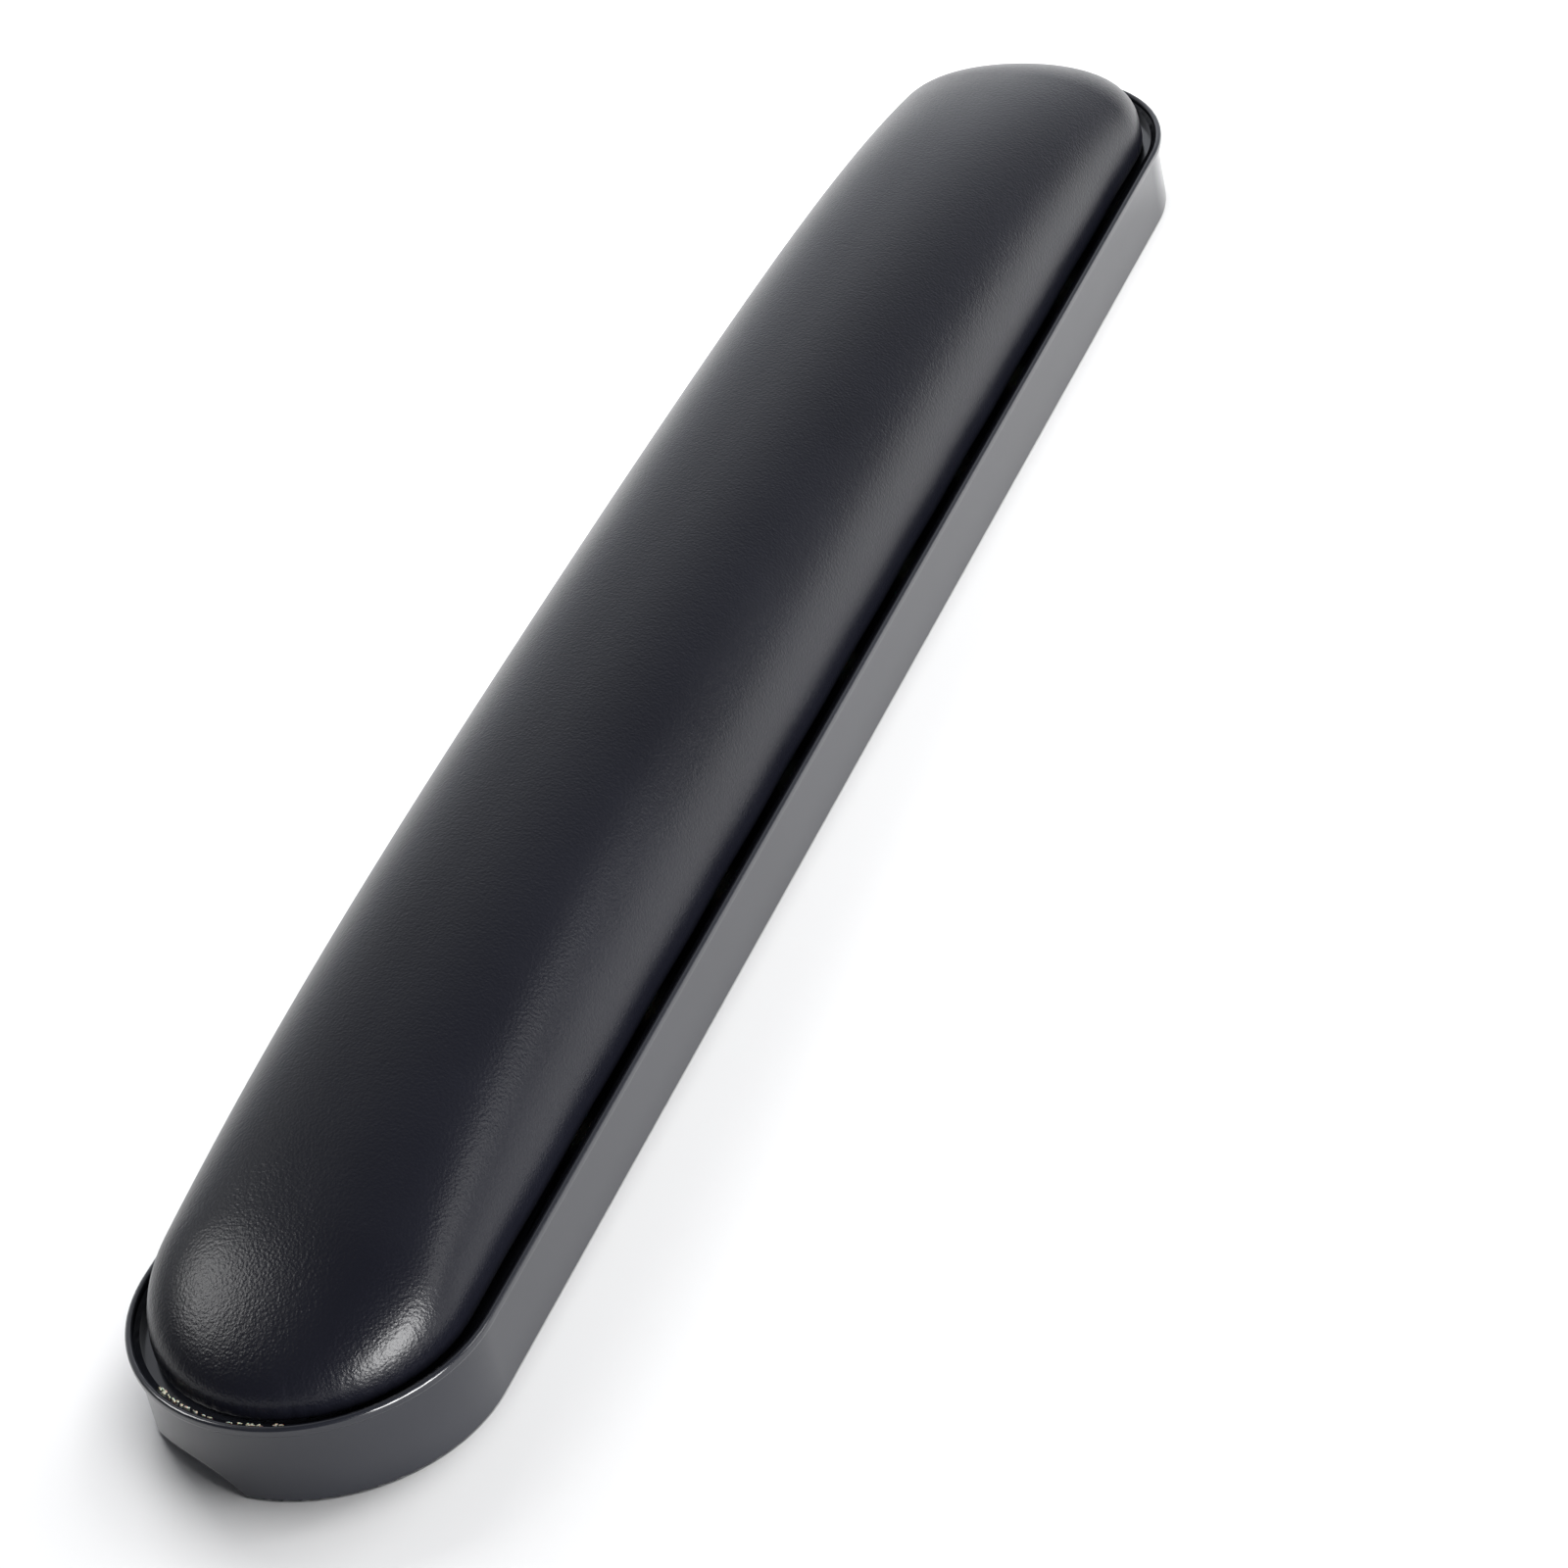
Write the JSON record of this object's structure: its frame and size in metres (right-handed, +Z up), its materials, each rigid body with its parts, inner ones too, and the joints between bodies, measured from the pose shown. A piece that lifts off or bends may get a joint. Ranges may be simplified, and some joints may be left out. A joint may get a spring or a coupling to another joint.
{
  "type": "chair armrest pad",
  "caption": "Long round-ended armrest pad: crowned leather cushion screwed and glued into a black moulded tray with a rim bead, ribs and a channel for the chair's arm tube.",
  "frame": {"origin": "on the ground under the middle of the pad, at the centre of its bounding box's base", "axes": "+X along the pad towards the end that faces the camera, +Z up through the cushion, the arm-tube channel is on the -Y side"},
  "size_m": [0.355, 0.052, 0.0398],
  "materials": {
    "shell_plastic": "injection-moulded black ABS, semi-gloss",
    "plywood": "raw poplar plywood",
    "foam": "open-cell polyurethane foam",
    "cover_leather": "black PU leather with a fine grain and a soft sheen",
    "staple_steel": "galvanised wire",
    "nut_steel": "zinc-plated pressed steel",
    "screw_steel": "black zinc-plated steel",
    "adhesive": "cured hot-melt adhesive"
  },
  "bodies": {
    "root": {"base_shell": "shell_plastic", "backing_board": "plywood", "foam_core": "foam", "leather_cover": "cover_leather", "staples": "staple_steel", "tee_nut_front": "nut_steel", "tee_nut_rear": "nut_steel", "cushion_screws": "screw_steel", "adhesive_bead": "adhesive"}
  },
  "joints": []
}
